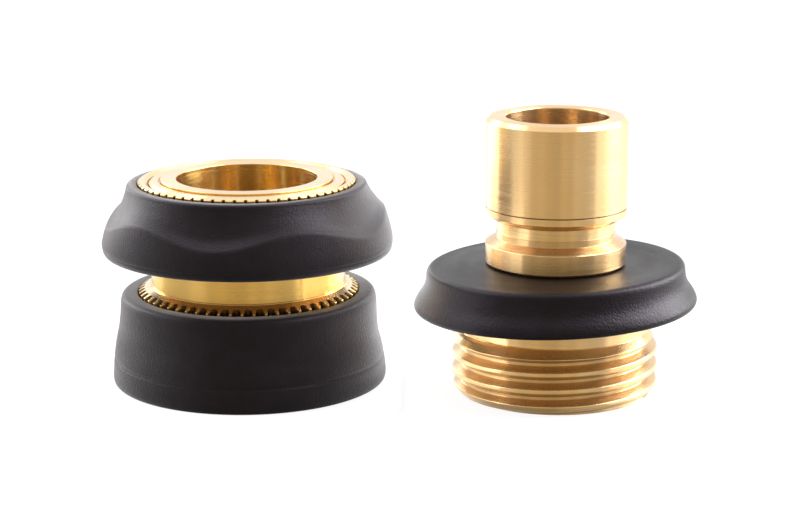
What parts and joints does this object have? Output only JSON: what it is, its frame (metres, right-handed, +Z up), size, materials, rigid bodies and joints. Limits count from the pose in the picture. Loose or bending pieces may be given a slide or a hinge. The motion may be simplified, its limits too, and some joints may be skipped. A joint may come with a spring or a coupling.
{
  "type": "union fitting",
  "caption": "Brass quick-connect hose union: a sprung ball-lock socket half with rubber grips beside its plug half, shown uncoupled and standing.",
  "frame": {"origin": "bottom centre of the standing pair's bounding box, on the floor plane", "axes": "+Z up along both halves' flow axes, +X from the socket half to the plug half, -Y towards the side the pair is seen from"},
  "size_m": [0.0778, 0.0434, 0.0362],
  "materials": {
    "brass": "turned, lightly polished",
    "rubber": "satin moulded",
    "seal_rubber": "satin",
    "steel": "polished"
  },
  "bodies": {
    "socket": {"socket_body": "brass", "base_grip": "rubber", "snap_ring": "brass", "socket_o_ring": "seal_rubber", "hose_washer": "seal_rubber", "sleeve_spring": "steel"},
    "sleeve": {"sleeve": "brass", "collar_grip": "rubber"},
    "ball_1": {"lock_ball_1": "steel"},
    "ball_2": {"lock_ball_2": "steel"},
    "ball_3": {"lock_ball_3": "steel"},
    "ball_4": {"lock_ball_4": "steel"},
    "ball_5": {"lock_ball_5": "steel"},
    "ball_6": {"lock_ball_6": "steel"},
    "plug_half": {"plug_body": "brass", "plug_grip": "rubber"}
  },
  "joints": [
    {"name": "sleeve_slide", "type": "slide", "parent": "socket", "child": "sleeve", "axis": [0, 0, -1], "range_m": [0, 0.002], "stiffness_N_per_m": 2500, "springref_m": -0.0025, "deforming": ["sleeve_spring"]},
    {"name": "ball_1_slide", "type": "slide", "parent": "socket", "child": "ball_1", "axis": [1, 0, 0], "range_m": [0, 0.001]},
    {"name": "ball_2_slide", "type": "slide", "parent": "socket", "child": "ball_2", "axis": [0.5, 0.866, 0], "range_m": [0, 0.001]},
    {"name": "ball_3_slide", "type": "slide", "parent": "socket", "child": "ball_3", "axis": [-0.5, 0.866, 0], "range_m": [0, 0.001]},
    {"name": "ball_4_slide", "type": "slide", "parent": "socket", "child": "ball_4", "axis": [-1, 0, 0], "range_m": [0, 0.001]},
    {"name": "ball_5_slide", "type": "slide", "parent": "socket", "child": "ball_5", "axis": [-0.5, -0.866, 0], "range_m": [0, 0.001]},
    {"name": "ball_6_slide", "type": "slide", "parent": "socket", "child": "ball_6", "axis": [0.5, -0.866, 0], "range_m": [0, 0.001]},
    {"name": "plug_half_lift", "type": "slide", "parent": "socket", "child": "plug_half", "axis": [0, 0, 1], "range_m": [0, 0.045]}
  ],
  "couplings": [
    {"joint": "ball_1_slide", "follows": "sleeve_slide", "ratio": 0.5},
    {"joint": "ball_2_slide", "follows": "sleeve_slide", "ratio": 0.5},
    {"joint": "ball_3_slide", "follows": "sleeve_slide", "ratio": 0.5},
    {"joint": "ball_4_slide", "follows": "sleeve_slide", "ratio": 0.5},
    {"joint": "ball_5_slide", "follows": "sleeve_slide", "ratio": 0.5},
    {"joint": "ball_6_slide", "follows": "sleeve_slide", "ratio": 0.5}
  ]
}
